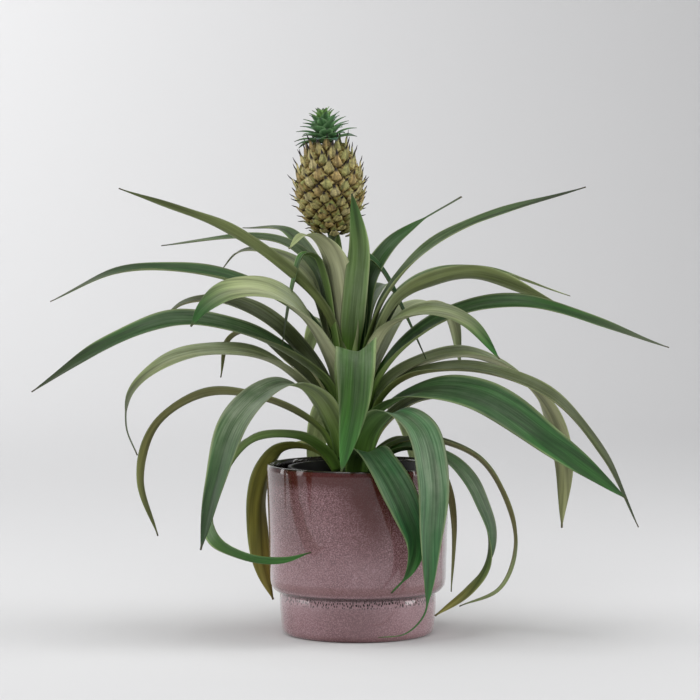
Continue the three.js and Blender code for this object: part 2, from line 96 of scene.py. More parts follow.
def mixed(tree, part, a, b, way="MIX"):
    """Colour a with a share of colour b over it. The node's inputs 6 and 7 are its two colours."""
    return add_node(tree, "Mix", {"Factor": part, 6: a, 7: b}, data_type="RGBA", blend_type=way).outputs[2]


def stretched(tree, width, length):
    """The flat map scaled to patches of a width and a length in millimetres."""
    flat_map = add_node(tree, "UVMap", uv_map="flat").outputs["UV"]
    return add_node(tree, "Mapping", {"Vector": flat_map,
                                      "Scale": (1000 / width, 1000 / length, 1)}).outputs[0]


def new_material(name, **constants):
    """A node material whose shader sockets hold the constants, with its tree and its shader."""
    material = bpy.data.materials.new(name)
    material.use_nodes = True
    shader = material.node_tree.nodes["Principled BSDF"]
    for socket, value in constants.items():
        shader.inputs[socket.replace("_", " ")].default_value = value
    return material, material.node_tree, shader


def place(name, points, faces, material, nodes, colours=None, flat=None):
    """Makes a piece of the plant from points in millimetres, and hangs it on the frame."""
    mesh = bpy.data.meshes.new(name)
    mesh.from_pydata([tuple(p) for p in np.asarray(points) * MM], [], faces)
    mesh.validate()
    for label, values in (colours or {}).items():
        attribute = mesh.attributes.new(label, "FLOAT_COLOR", "POINT")
        attribute.data.foreach_set("color", np.asarray(values, np.float32).ravel())
    if flat is not None:
        layer = mesh.uv_layers.new(name="flat")
        corners = np.zeros(len(mesh.loops), np.int32)
        mesh.loops.foreach_get("vertex_index", corners)
        layer.data.foreach_set("uv", (np.asarray(flat, np.float32)[corners] * MM).ravel())
    mesh.shade_smooth()
    mesh.materials.append(material)
    piece = bpy.data.objects.new(name, mesh)
    bpy.context.scene.collection.objects.link(piece)
    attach(piece, "root")
    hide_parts(*nodes)
    return piece


def rounded(profile, bevels, steps=5):
    """The profile's points with each corner cut to an arc, whose reach is the corner's bevel."""
    points = []
    for i, (corner, bevel) in enumerate(zip(profile, bevels)):
        corner = np.array(corner, float)
        if bevel == 0 or i in (0, len(profile) - 1):
            points.append(corner)
            continue
        before, after = np.array(profile[i - 1], float) - corner, np.array(profile[i + 1], float) - corner
        start = corner + before * min(0.5, bevel / np.linalg.norm(before))
        end = corner + after * min(0.5, bevel / np.linalg.norm(after))
        for step in range(steps + 1):
            t = step / steps
            points.append((1 - t) ** 2 * start + 2 * t * (1 - t) * corner + t * t * end)
    return points


def divided(profile, spacing):
    """The profile with points added, so that none lie further apart than the spacing, and none twice."""
    points = [profile[0]]
    for here, there in zip(profile, profile[1:]):
        parts = math.ceil(round(np.linalg.norm(np.subtract(there, here)), 6) / spacing)
        points += [here + (there - here) * (k + 1) / parts for k in range(parts)]
    return points


def ring_faces(rings, sides):
    """The faces between rings of points that follow each other, each ring with as many sides."""
    faces = []
    for first in range(0, (rings - 1) * sides, sides):
        for k in range(sides):
            a, b = first + k, first + (k + 1) % sides
            faces.append((a, b, b + sides, a + sides))
    return faces


def fan_faces(hub, first, sides, turn):
    """The faces from a hub to the ring that starts at first, facing down for a turn of 1 or up for -1."""
    return [(hub,) + (first + (k + 1) % sides, first + k)[::turn] for k in range(sides)]


def lathe(profile, sides, waver=None):
    """Points and faces of a profile of radius and height turned about Z, from the axis round to the axis."""
    rings = [p for p in profile if p[0] > 1e-6]
    points, faces = [], ring_faces(len(rings), sides)
    for radius, height in rings:
        for k in range(sides):
            angle = 2 * math.pi * k / sides
            r = radius + (waver(angle, radius, height) if waver else 0)
            points.append((r * math.cos(angle), r * math.sin(angle), height))
    for centre, first, turn in ((profile[0], 0, 1), (profile[-1], (len(rings) - 1) * sides, -1)):
        points.append((0, 0, centre[1]))
        faces += fan_faces(len(points) - 1, first, sides, turn)
    return points, faces


pot_height, pot_floor, pot_shoulder = 136, 6, 44
pot_outside = [(0, 0), (58, 0), (61, 3), (63, 26), (62.2, 33), (66.5, 35), (69.7, 39), (70.5, pot_shoulder),
               (73, 133), (72.2, pot_height)]
pot_inside = [(70, pot_height), (69, 133), (65.5, pot_shoulder), (59, 33), (56, 9), (53, pot_floor),
              (0, pot_floor)]
pot_bevels = [0, 1.5, 5, 6, 1.2, 2, 3, 5, 2, 0.8] + [0.8, 2, 8, 8, 4, 4, 0]
pot_spacing, pot_sides = 4, 144


def wall_waver(angle, radius, height):
    """The small unevenness of a thrown and dipped wall: slow waves, and faint throwing rings."""
    if radius < 60 or height < 2:
        return 0
    slow = noise.noise(Vector((1.7 * math.cos(angle), 1.7 * math.sin(angle), height / 55)))
    ripple = noise.noise(Vector((5 * math.cos(angle), 5 * math.sin(angle), height / 17)))
    throwing_ring = math.sin(height * 1.3)
    return 0.35 * slow + 0.1 * ripple + 0.05 * throwing_ring


pot_profile = divided(rounded(pot_outside + pot_inside, pot_bevels), pot_spacing)
pot_points, pot_faces = lathe(pot_profile, pot_sides, wall_waver)


def soft(value, low, high):
    """Smooth step from 0 at low to 1 at high."""
    t = np.clip((np.asarray(value, float) - low) / (high - low), 0, 1)
    return t * t * (3 - 2 * t)


# Where the glaze ran thin: each patch's middle and spread in degrees, the heights it grows between, and
# its strength.
iron_patches = [(-82, 18, 48, 118, 1), (40, 40, 89, 128, 1), (140, 50, 73, 128, 1), (-95, 32, 34, 22, 0.28)]


def shade_pot(point):
    """How far the glaze is iron brown, thin with a painted warm glow on the lip, and dark: a glaze break
    on the rim's top, and painted shade inside the pot and in the groove.
    """
    x, y, z = point
    radius, angle = math.hypot(x, y), math.degrees(math.atan2(y, x))
    mid_wall = min(71.2, 69.2 + (z - pot_shoulder) * 0.028) if z > pot_shoulder else 60
    inside = z > pot_floor and radius < mid_wall
    iron = float(soft(z, 117, 129))
    for centre, spread, low, high, strength in iron_patches:
        away = (angle - centre + 180) % 360 - 180
        iron = max(iron, strength * math.exp(-(away / spread) ** 2) * float(soft(z, low, high)))
    # On the lip band the thin mark is partly thin glaze and partly a painted warm glow of the lights; at the
    # foot it is thin glaze.
    thin = max(0.45 * float(soft(z, 37, 39) * soft(z, 46, 43)), 0.4 * float(soft(z, 6, 2)))
    # Dark: the glaze break on the rim's top, and painted shade inside the pot and in the groove under the
    # lip.
    dark = max(float(soft(z, 134.2, 135.4)), 0.8 * float(soft(z, 32.4, 33.4) * soft(z, 36.8, 35.4)))
    return (0.0 if inside else iron, thin, 1.0 if inside else dark, 0.0)


band_radius = 63
pot_marks = [shade_pot(p) for p in pot_points]
pot_flat = [(math.atan2(y, x) * band_radius, z) for x, y, z in pot_points]

# Glazed stoneware: a milky mauve glaze over dark clay, fired until it breaks into a fine speckle. It runs
# thin and iron brown round the rim and in streaks down the wall, pinholes ring it under the groove, and its
# gloss is deep and slightly uneven like orange peel. Sizes are in millimetres. The real specks are near
# 0.5 mm, drawn coarser to show.
speck_grain, cloud_size, peel_size = 0.95, 38, 4
pinhole_width, pinhole_height = 1.5, 3.2
milky_top, milky_foot = 125, 30
pinholes_start, pinholes_full, pinholes_fade, pinholes_end = 26.2, 28.2, 32.5, 33.5
glaze, tree, shader = new_material(
    "glazed stoneware, mauve speckle", IOR=1.5, Specular_IOR_Level=0.2, Coat_Weight=1.0,
    Coat_Roughness=0.04, Coat_IOR=1.5)
where = add_node(tree, "TexCoord").outputs["Object"]
marks = add_node(tree, "Attribute", attribute_name="marks")
mark = add_node(tree, "SeparateColor", {"Color": marks.outputs["Color"]}).outputs
speck = grain_of(tree, where, 1000 / speck_grain, 2.5, 0.65)
cloud = grain_of(tree, where, 1000 / cloud_size, 3)
speckled = add_node(tree, "ValToRGB", {"Fac": speck}, stops=(
    (0, "#2a0e0f"), (0.4, "#4d2829"), (0.49, "#73484b"), (0.58, "#987279"), (1, "#cdb1ba")))
height = add_node(tree, "SeparateXYZ", {"Vector": where}).outputs["Z"]
milky_part = product(tree, mapped(tree, height, milky_top * MM, milky_foot * MM), cloud)
iron_part = mapped(tree, product(tree, mark["Red"], cloud), 0.04, 0.38, high=0.93)
pits = add_node(tree, "TexVoronoi", {"Vector": stretched(tree, pinhole_width, pinhole_height), "Scale": 1.0,
                                     "Randomness": 0.9}, voronoi_dimensions="2D")
band = product(tree, mapped(tree, height, pinholes_start * MM, pinholes_full * MM),
               mapped(tree, height, pinholes_end * MM, pinholes_fade * MM))
pitted = product(tree, band, mapped(tree, pits.outputs["Distance"], 0.34, 0.22))
glaze_colour = speckled.outputs["Color"]
# Of the marks, red is iron brown; green is thin glaze, on the lip band partly a painted warm glow; blue is
# the rim's glaze break, and painted shade inside the pot and in the groove.
for part, code in ((milky_part, "#ab8d93"), (iron_part, "#4c120d"), (mark["Green"], "#6d3f3c"),
                   (mark["Blue"], "#1d120e"), (product(tree, band, 0.35), "#b29499"), (pitted, "#24130f")):
    glaze_colour = mixed(tree, part, glaze_colour, linear(code))
peel = grain_of(tree, where, 1000 / peel_size, 2)
peel_bump = add_node(tree, "Bump", {"Height": peel, "Strength": 0.12, "Distance": 0.0004})
pit_bump = add_node(tree, "Bump", {"Height": pitted, "Strength": 0.8, "Distance": 0.0006,
                                   "Normal": peel_bump.outputs[0]}, invert=True)
feed(tree, shader, {"Base Color": glaze_colour, "Roughness": mapped(tree, speck, 0.3, 0.7, 0.16, 0.34),
                    "Normal": pit_bump.outputs[0]})

place("stoneware_pot", pot_points, pot_faces, glaze, ["pot"],
      {"marks": pot_marks}, pot_flat)


# The nursery pot: thin black polypropylene, moulded with a rolled rim band, low ribs and a drained base.
# It stands loose inside the stoneware pot.
tray_x, tray_spacing, tray_ribs, rib_rise = 4, 12, 48, 0.25
drain_holes, drain_circle, drain_radius, tray_floor = 5, 28, 4.5, 12
tray_outline = [(0, 11.3), (41, 11.3), (42, 6.3), (45, 6.3), (58.2, 126), (60, 126), (60.5, 134), (57, 134),
                (43.8, 12.5), (0, 12.5)]
tray_bevels = [0, 1, 0.5, 0.5, 0.5, 0.8, 0.8, 1, 1, 0]


def tray_ribbing(angle, radius, height):
    """The low upright ribs of the nursery pot's wall, between its foot and its rim band."""
    return rib_rise * math.cos(tray_ribs * angle) if 20 < height < 122 and radius > 46 else 0


tray_profile = divided(rounded(tray_outline, tray_bevels), tray_spacing)
tray_points, tray_faces = lathe(tray_profile, 2 * tray_ribs, tray_ribbing)
tray_points = [(x + tray_x, y, z) for x, y, z in tray_points]

# Moulded polypropylene: black, with the soft satin that the mould's fine etch gives, dulled by dust. Sizes
# are in millimetres.
dust_patch, etch_grain = 14, 0.9
plastic, tree, shader = new_material("moulded black polypropylene, satin", IOR=1.49, Specular_IOR_Level=0.3)
where = add_node(tree, "TexCoord").outputs["Object"]
dust = grain_of(tree, where, 1000 / dust_patch, 5, 0.7)
black = add_node(tree, "ValToRGB", {"Fac": dust}, stops=(
    (0, "#070708"), (0.52, "#0c0b0b"), (0.72, "#141212"), (1, "#2c2824")))
etch = grain_of(tree, where, 1000 / etch_grain, 1)
etch_bump = add_node(tree, "Bump", {"Height": etch, "Strength": 0.2, "Distance": 0.0002})
feed(tree, shader, {"Base Color": black.outputs["Color"],
                    "Roughness": mapped(tree, dust, low=0.26, high=0.62), "Normal": etch_bump.outputs[0]})

tray = place("nursery_pot", tray_points, tray_faces, plastic, ["grow_pot"])
drill = bmesh.new()
for k in range(drain_holes):
    angle = 2 * math.pi * k / drain_holes
    spot = Vector((tray_x + drain_circle * math.cos(angle), drain_circle * math.sin(angle), tray_floor))
    bmesh.ops.create_cone(drill, cap_ends=True, segments=24, radius1=drain_radius * MM,
                          radius2=drain_radius * MM, depth=8 * MM, matrix=Matrix.Translation(spot * MM))
drill_mesh = bpy.data.meshes.new("drill")
drill.to_mesh(drill_mesh)
drill_piece = bpy.data.objects.new("drill", drill_mesh)
bpy.context.scene.collection.objects.link(drill_piece)
cut = tray.modifiers.new("drain_holes", "BOOLEAN")
cut.object = drill_piece
cut.solver = "EXACT"
bpy.context.view_layer.update()
drained = bpy.data.meshes.new_from_object(tray.evaluated_get(bpy.context.evaluated_depsgraph_get()))
tray.modifiers.clear()
tray.data = drained
bpy.data.objects.remove(drill_piece)


# The soil: moist peat with bark and a little grit, filled loosely to a finger's width under the rim, and
# pressed up round the stem. The stem stands in a plain hole in it.
stem_x = -5
soil_base, soil_edge, soil_radius, soil_sides = 12.8, 117.6, 54, 110
hole_radius, hole_bottom = 12.3, 69.7
soil_rings = [(42.9, soil_base), (43.5, 14), (52.8, 105), (soil_radius, 114)]
soil_rings += [(radius, soil_edge + 2.4 * (1 - radius / soil_radius))
               for radius in np.linspace(52, hole_radius, 26)]
soil_rings += [(hole_radius, 100), (hole_radius, hole_bottom)]
soil_points, soil_faces = [], ring_faces(len(soil_rings), soil_sides)
for radius, height in soil_rings:
    centre_x = tray_x + (stem_x - tray_x) * float(soft(radius, 52, 13))
    centre_x = tray_x if height < 116 and radius > 13 else centre_x
    for k in range(soil_sides):
        angle = 2 * math.pi * k / soil_sides
        x, y = centre_x + radius * math.cos(angle), radius * math.sin(angle)
        lump = 0
        if height > 117 and 12.4 < radius < 52:
            lump = 1.6 * noise.noise(Vector((x / 9, y / 9, 0))) + 1.1 * noise.noise(Vector((x / 3, y / 3, 4)))
        soil_points.append((x, y, height + lump))
soil_points += [(tray_x, 0, soil_base), (stem_x, 0, hole_bottom)]
soil_faces += fan_faces(len(soil_points) - 2, 0, soil_sides, 1)
soil_faces += fan_faces(len(soil_points) - 1, (len(soil_rings) - 1) * soil_sides, soil_sides, -1)

# Chips of bark and crumbs of peat: flat six-sided bits, strewn between the stem and the nursery pot.
chip_count, chip_sides, chips_inner, chips_outer = 260, 6, 19, 48
chips = random.Random(11)
for _ in range(chip_count):
    outward = math.sqrt(chips.random())
    radius, angle = chips_inner + (chips_outer - chips_inner) * outward, chips.uniform(0, 2 * math.pi)
    size = chips.choice((1.3, 1.8, 2.4, 3.4))
    turn = Matrix.Rotation(chips.uniform(0, 6.3), 3, "Z") @ Matrix.Rotation(chips.uniform(-0.6, 0.6), 3, "X")
    centre_x = stem_x + (tray_x - stem_x) * outward
    lie = soil_edge + 1 + 2 * (1 - radius / soil_radius)
    chip = Vector((centre_x + radius * math.cos(angle), radius * math.sin(angle), lie))
    first = len(soil_points)
    for side in range(chip_sides):
        around = 2 * math.pi * side / chip_sides
        stretch = size * chips.uniform(0.75, 1.2)
        for lift in (-0.35, 0.35):
            corner = Vector((1.5 * stretch * math.cos(around), stretch * math.sin(around), size * lift))
            soil_points.append(chip + turn @ corner)
    for side in range(chip_sides):
        a, b = first + 2 * side, first + 2 * ((side + 1) % chip_sides)
        soil_faces.append((a, b, b + 1, a + 1))
    soil_faces.append(tuple(first + 2 * side for side in reversed(range(chip_sides))))
    soil_faces.append(tuple(first + 2 * side + 1 for side in range(chip_sides)))

# Peat and bark: near-black brown, dull, with paler bark flecks and a rare grain of grit. Its crumbs are
# near 2.6 mm.
crumb_size = 2.6
peat, tree, shader = new_material("moist peat and bark", IOR=1.4, Roughness=0.92)
where = add_node(tree, "TexCoord").outputs["Object"]
crumb = grain_of(tree, where, 1000 / crumb_size, 4, 0.7)
brown = add_node(tree, "ValToRGB", {"Fac": crumb}, stops=(
    (0, "#120c09"), (0.45, "#241a14"), (0.6, "#3d2c20"), (0.74, "#6d5440"), (1, "#a89a86")))
crumb_bump = add_node(tree, "Bump", {"Height": crumb, "Strength": 0.9, "Distance": 0.0012})
feed(tree, shader, {"Base Color": brown.outputs["Color"], "Normal": crumb_bump.outputs[0]})
place("potting_soil", soil_points, soil_faces, peat, ["soil"])


# The leaves: living blades, channelled like a gutter, that clasp the stem one above the other. The upper
# skin is waxy and dark with darker veins, the underside is paler with a silvery scurf in fine lines, and
# each blade dries to a thin grey tip.
gap = 0.3
stem_root, stem_top = 70, 321.2
stem_line = [(stem_x, 0, stem_root), (stem_x, 0, 150), (-5.5, 0, 205), (-8, 0, 245), (-14, 0, 285),
             (-20, 0, stem_top)]
stock_radius, stalk_radius = 12, 4.6


def spline(points, per_span=24):
    """Dense points of the centripetal Catmull-Rom curve through the points."""
    p = [np.array(q, float) for q in points]
    p = [2 * p[0] - p[1]] + p + [2 * p[-1] - p[-2]]
    out = []
    for k in range(1, len(p) - 2):
        d0, d1, d2 = (np.linalg.norm(p[k + j] - p[k + j - 1]) ** 0.5 for j in range(3))
        t1 = ((p[k] - p[k - 1]) / d0 - (p[k + 1] - p[k - 1]) / (d0 + d1) + (p[k + 1] - p[k]) / d1) * d1
        t2 = ((p[k + 1] - p[k]) / d1 - (p[k + 2] - p[k]) / (d1 + d2) + (p[k + 2] - p[k + 1]) / d2) * d1
        for t in np.arange(per_span) / per_span:
            out.append(p[k] + t1 * t + (3 * (p[k + 1] - p[k]) - 2 * t1 - t2) * t ** 2
                       + (2 * (p[k] - p[k + 1]) + t1 + t2) * t ** 3)
    return np.array(out + [p[-2]])


def evenly(points, count):
    """The curve's points spread evenly along its length, its directions there, and its length."""
    lengths = np.concatenate([[0], np.cumsum(np.linalg.norm(np.diff(points, axis=0), axis=1))])
    stations = np.linspace(0, lengths[-1], count)
    at = np.stack([np.interp(stations, lengths, points[:, axis]) for axis in range(3)], 1)
    ahead = np.gradient(at, axis=0)
    return at, ahead / np.linalg.norm(ahead, axis=1, keepdims=True), lengths[-1]


def stem_place(height):
    """Where the stem's centre line passes a height."""
    line = spline(stem_line)
    return np.array([np.interp(height, line[:, 2], line[:, 0]), 0, height])


def stem_radius(height):
    """The stem's radius at a height: a butt in the soil, a stout stock, and the thin stalk above."""
    radius = stock_radius + (stalk_radius - stock_radius) * soft(height, 150, 240)
    return radius * (0.6 + 0.4 * soft(height, stem_root, 100))


base_thick, blade_thick, edge_thick, thread_half = 2.2, 1.3, 0.5, 0.9
base_channel, open_channel = 50, 44
blade_rings = 76
right_steps = [0.14, 0.3, 0.48, 0.65, 0.82, 0.93, 1]
across_steps = [-step for step in reversed(right_steps)] + [0] + right_steps


def blade(leaf):
    """Points, faces, share along and across, side and flat map of a leaf's channelled blade."""
    heading, base = math.radians(leaf.heading), leaf.base
    ahead, aside = (math.cos(heading), math.sin(heading)), (-math.sin(heading), math.cos(heading))
    start = (stem_radius(base) + gap) / math.cos(math.radians(base_channel / 2)) + base_thick / 2
    route = [(stem_place(base)[0] + start * ahead[0], start * ahead[1], base)]
    for reach, height, *bent in leaf.midrib:
        sideways = bent[0] if bent else 0
        route.append((stem_x + reach * ahead[0] + sideways * aside[0],
                      reach * ahead[1] + sideways * aside[1], height))
    centres, forwards, length = evenly(spline(route), blade_rings)
    level = np.array([*aside, 0])
    wave = random.Random(leaf.heading * 7 + base)
    phase, pace = wave.uniform(0, 6.3), wave.uniform(0.07, 0.11)
    out, alongs, acrosses, sides, flat = [], [], [], [], []
    for k, (centre, forward) in enumerate(zip(centres, forwards)):
        along = k / (blade_rings - 1)
        clasp = 1 - float(soft(along, 0, 0.3))
        tip = max(0, (min(1, along / (1 - leaf.thread)) - 0.45) / 0.55)
        channel = math.radians((leaf.channel + (base_channel - leaf.channel) * clasp) * (1 - 0.3 * tip))
        flare = 0.72 + 0.28 * float(soft(along, 0, 0.25))
        half = max(thread_half, leaf.half * flare * (1 - tip ** 2) ** 0.9)
        lift = half * math.tan(channel / 2)
        middle = (blade_thick + (base_thick - blade_thick) * clasp) * (1 - 0.5 * tip) / 2
        edge = edge_thick * (1 - 0.4 * tip) / 2
        tilt = math.radians(leaf.tilt * float(soft(along, 0.05, 0.5))
                            + leaf.twist * float(soft(along, 0.5, 1)))
        side = level - forward * level.dot(forward)
        side /= np.linalg.norm(side)
        face = np.cross(forward, side)
        left = side * math.cos(tilt) + face * math.sin(tilt)
        up = face * math.cos(tilt) - side * math.sin(tilt)
        sink = lift * (1 - clasp) / 2
        ruffle = 0.5 * (1 - clasp) * min(1, half / 8)
        for surface, steps in ((1, across_steps), (-1, across_steps[-2:0:-1])):
            for across in steps:
                at_edge = abs(across) == 1
                rise = lift * abs(across) ** 1.25 - sink
                rise += 0 if at_edge else surface * (middle + (edge - middle) * abs(across) ** 1.5)
                wobble = math.sin(phase + np.sign(across) + k * length / blade_rings * pace)
                rise += ruffle * across ** 2 * wobble
                out.append(centre + left * across * half * (1.02 if at_edge else 1) + up * rise)
                alongs.append(along)
                acrosses.append(across)
                sides.append(0.5 if at_edge else (surface + 1) / 2)
                flat.append((across * half, along * length))
    last_step = len(across_steps) - 1
    loop = 2 * last_step
    faces = [(a, d, c, b) for a, b, c, d in ring_faces(blade_rings, loop)]
    beneath = [0] + [loop - j for j in range(1, last_step)] + [last_step]
    for first, turn in ((0, 1), ((blade_rings - 1) * loop, -1)):
        for j in range(last_step):
            corners = dict.fromkeys((j, j + 1, beneath[j + 1], beneath[j]))
            faces.append(tuple(first + corner for corner in corners)[::turn])
    return out, faces, np.array(alongs), np.array(acrosses), np.array(sides), flat


# A leaf's skin has one colour above, one below and one along its groove. New leaves are a fresh green, old
# ones grey, olive or dry.
skins = {
    "deep": dict(upper="#244b17", under="#7a8a52", groove="#1c3f12"),
    "bottle": dict(upper="#245020", under="#587440", groove="#1b3f18"),
    "moss": dict(upper="#35501f", under="#737d4c", groove="#2b4119"),
    "young": dict(upper="#3c5a24", under="#56703a", groove="#2c451a"),
    "fresh": dict(upper="#37601d", under="#64803e", groove="#2e5218"),
    "olive": dict(upper="#434d22", under="#7c7b48", groove="#363e1b"),
    "silver": dict(upper="#6d784d", under="#a0a27c", groove="#838963"),
    "dry": dict(upper="#6f7428", under="#84853a", groove="#5c611f"),
    "jade": dict(upper="#2b5f33", under="#62834a", groove="#275229"),
    # The frost skin is painted paler than the leaves' own: partly silvery scurf, partly painted light where
    # they are lit.
    "frost": dict(upper="#8b9468", under="#b0b18c", groove="#9aa07c"),
}
tips = dict(green="#22501a", fresh="#396a2e", deep="#17350f", grey="#4f5843", pale="#8f9b68", dark="#28331a",
            olive="#666b38", dry="#8b7838")

# Each leaf points to its heading, in degrees from +X, and leaves the stem at its base height. Half is half
# its blade's width, and the bloom is how thick the grey lies on its arch: partly scurf, partly painted
# sheen. The midrib's points are [reach, height] from the stem's centre line, with a step aside as a third
# number where the leaf swings sideways. The tilt leans the blade over, the twist turns its outer half and
# the channel is the gutter's bend, all in degrees, and the thread is the share that has dried to a thread.
# Lengths are in millimetres.
Leaf = namedtuple("Leaf", "heading base half skin tip bloom midrib tilt twist channel thread",
                  defaults=(0, 0, open_channel, 0))
leaves = [
    Leaf(-88, 222, 9.5, "young", "green", 0.6,
         [[14, 248], [20, 283, 3], [25, 310, 5], [28, 335, 2], [29, 352, -1]]),
    Leaf(228, 218, 14, "frost", "pale", 0.5,
         [[11, 250], [14, 270], [20, 295], [34, 313], [55, 320], [73, 309]]),
    Leaf(60, 226, 5, "young", "green", 0.2, [[10, 255], [15, 285], [21, 296]]),
    Leaf(130, 216, 8, "moss", "grey", 0.3,
         [[17, 240], [34, 274], [54, 300], [82, 321], [141, 323]], tilt=-10),
    Leaf(-6, 211, 8, "moss", "dark", 0.25, [[14, 236], [25, 268], [52, 302], [94, 328], [186, 357]], tilt=26),
    Leaf(40, 206, 8, "deep", "grey", 0.1,
         [[12, 245], [18, 283], [38, 309], [66, 326], [118, 349]], tilt=30, thread=0.2),
    Leaf(196, 206, 9, "moss", "dark", 0.1,
         [[14, 238], [28, 267], [62, 298], [102, 324], [189, 356]], tilt=24),
    Leaf(100, 205, 9, "moss", "grey", 0.3, [[18, 235], [35, 270], [65, 292], [105, 296], [148, 276]]),
    Leaf(158, 202, 8, "moss", "grey", 0.2,
         [[20, 250], [30, 290], [55, 311], [92, 317], [168, 309]], tilt=-16),
    Leaf(25, 200, 6, "bottle", "dark", 0, [[10, 255], [13, 301], [26, 292], [48, 254], [69, 213]], tilt=34),
    Leaf(10, 196, 12, "moss", "pale", 0.4,
         [[17, 230], [34, 264], [63, 281], [102, 287], [176, 259]], tilt=-34),
    Leaf(200, 197, 6.5, "fresh", "dark", 0.1,
         [[16, 245], [24, 286], [31, 302], [41, 304], [49, 283], [59, 230]]),
    Leaf(70, 195, 8, "moss", "grey", 0.3, [[16, 225], [32, 258], [58, 274], [85, 277], [112, 266]]),
    Leaf(146, 192, 9, "silver", "dark", 0.4,
         [[20, 234], [35, 276], [56, 296], [84, 305], [112, 304], [129, 289]], tilt=-16),
    Leaf(176, 190, 13, "deep", "grey", 0.1,
         [[18, 226], [42, 258], [86, 281], [140, 292], [190, 289], [243, 265]], tilt=-14),
    Leaf(-32, 186, 13, "silver", "green", 0.5,
         [[17, 217], [34, 248], [69, 260], [107, 251], [135, 224]], tilt=20),
    Leaf(26, 184, 10, "moss", "pale", 0.4,
         [[18, 220], [45, 271], [80, 288], [122, 290], [201, 267]], tilt=10),
    Leaf(216, 180, 17, "frost", "green", 0.9,
         [[19, 212], [42, 253], [77, 275], [118, 276], [141, 264], [153, 250]], tilt=-34),
    Leaf(104, 178, 10, "deep", "grey", 0.2, [[22, 205], [48, 235], [88, 248], [130, 236], [168, 200]]),
    Leaf(48, 176, 11, "frost", "green", 0.7, [[20, 205], [56, 252], [91, 263], [121, 251], [136, 206]]),
    Leaf(4, 172, 13, "deep", "grey", 0.1, [[20, 200], [42, 231], [84, 257], [140, 264], [256, 228]], tilt=22),
    Leaf(192, 170, 14, "deep", "dark", 0.2,
         [[20, 198], [44, 222], [88, 244], [144, 252], [200, 232], [256, 197]], tilt=-24),
    Leaf(163, 166, 14, "olive", "grey", 0.4,
         [[22, 195], [60, 243], [105, 265], [145, 262], [168, 241]], tilt=-14),
    Leaf(84, 164, 11, "deep", "grey", 0.2, [[22, 190], [48, 220], [92, 232], [138, 214], [172, 168]]),
    Leaf(-90, 164, 16, "fresh", "fresh", 0.4,
         [[24, 200, 2], [50, 228, 4], [84, 231, 4], [105, 192, 2], [115, 140, -8]],
         tilt=12, twist=-10, channel=56),
    Leaf(20, 160, 14, "silver", "olive", 0.5,
         [[22, 187], [50, 212], [103, 222], [157, 194], [184, 139], [184, 77]], tilt=14, twist=-90),
    Leaf(-3, 157, 12, "olive", "dark", 0.4,
         [[24, 188], [48, 208], [102, 212], [160, 190], [201, 143], [229, 86]], tilt=18),
    Leaf(150, 154, 9, "olive", "olive", 0.3, [[26, 188], [60, 218], [95, 240], [116, 232], [124, 201]]),
    Leaf(203, 152, 13, "silver", "grey", 0.8,
         [[24, 179], [64, 219], [112, 229], [157, 221], [186, 198], [190, 172], [181, 149]],
         tilt=-20, thread=0.12),
    Leaf(-25, 148, 16, "bottle", "green", 0.15,
         [[24, 177], [58, 196], [112, 193], [172, 158], [233, 118]], tilt=44, channel=26),
    Leaf(66, 148, 11, "deep", "grey", 0.2, [[24, 160], [45, 175], [78, 178], [115, 158], [146, 100]]),
    Leaf(184, 143, 11, "olive", "pale", 0.3,
         [[26, 164], [66, 188], [116, 193], [155, 169], [168, 124], [155, 79]], tilt=14, twist=20),
    Leaf(222, 140, 17, "deep", "deep", 0.8,
         [[22, 166], [40, 193], [64, 204], [92, 198], [122, 174], [142, 126], [156, 79]],
         tilt=-6, channel=30),
    Leaf(104, 140, 11, "deep", "grey", 0.2, [[24, 158], [50, 176], [84, 176], [118, 146], [138, 92]]),
    Leaf(14, 138, 11, "olive", "olive", 0.4,
         [[26, 165], [52, 186], [95, 189], [130, 177], [152, 160]], tilt=15),
    Leaf(-50, 133, 17, "jade", "fresh", 0.4,
         [[26, 162, -1], [54, 181, -4], [86, 169, -3], [98, 130, -1], [96, 85, -1], [93, 45],
          [91, 24, -3], [84, 10, -16], [76, 8, -37]], channel=30, thread=0.17),
    Leaf(92, 134, 11, "deep", "grey", 0.2, [[26, 148], [60, 160], [95, 150], [118, 115], [126, 62]]),
    Leaf(206, 130, 13, "fresh", "fresh", 0.4,
         [[26, 146], [49, 160], [88, 159], [114, 131], [124, 98], [123, 82, 16], [106, 71, 37],
          [82, 69, 50], [62, 74, 55]], tilt=20, twist=-66),
    Leaf(18, 128, 9, "olive", "pale", 0.1,
         [[28, 145], [56, 154], [84, 150], [112, 135], [132, 104], [141, 66], [127, 31], [92, 17]],
         tilt=14, twist=30),
    Leaf(-62, 127, 15, "jade", "fresh", 0.3,
         [[28, 144, -5], [52, 151, -12], [70, 147, -15], [82, 134, -11], [87, 112, -1], [88, 80, 10],
          [86, 58, 5], [82, 42, -9]], channel=30, thread=0.06),
    Leaf(154, 127, 13, "dry", "dry", 0,
         [[28, 143], [46, 149], [63, 146], [76, 131], [84, 105], [84, 75], [80, 45], [71, 22]],
         tilt=10, twist=45),
    Leaf(-6, 125, 11, "bottle", "dry", 0.4,
         [[28, 142], [44, 149], [64, 146], [80, 138], [93, 124], [102, 107], [111, 83], [110, 60, -8],
          [95, 38, -22], [70, 20, -40]], tilt=26, twist=-80),
    Leaf(38, 126, 8, "olive", "pale", 0.2,
         [[28, 142], [55, 152], [80, 143], [97, 118], [106, 80], [104, 24]], tilt=20),
]

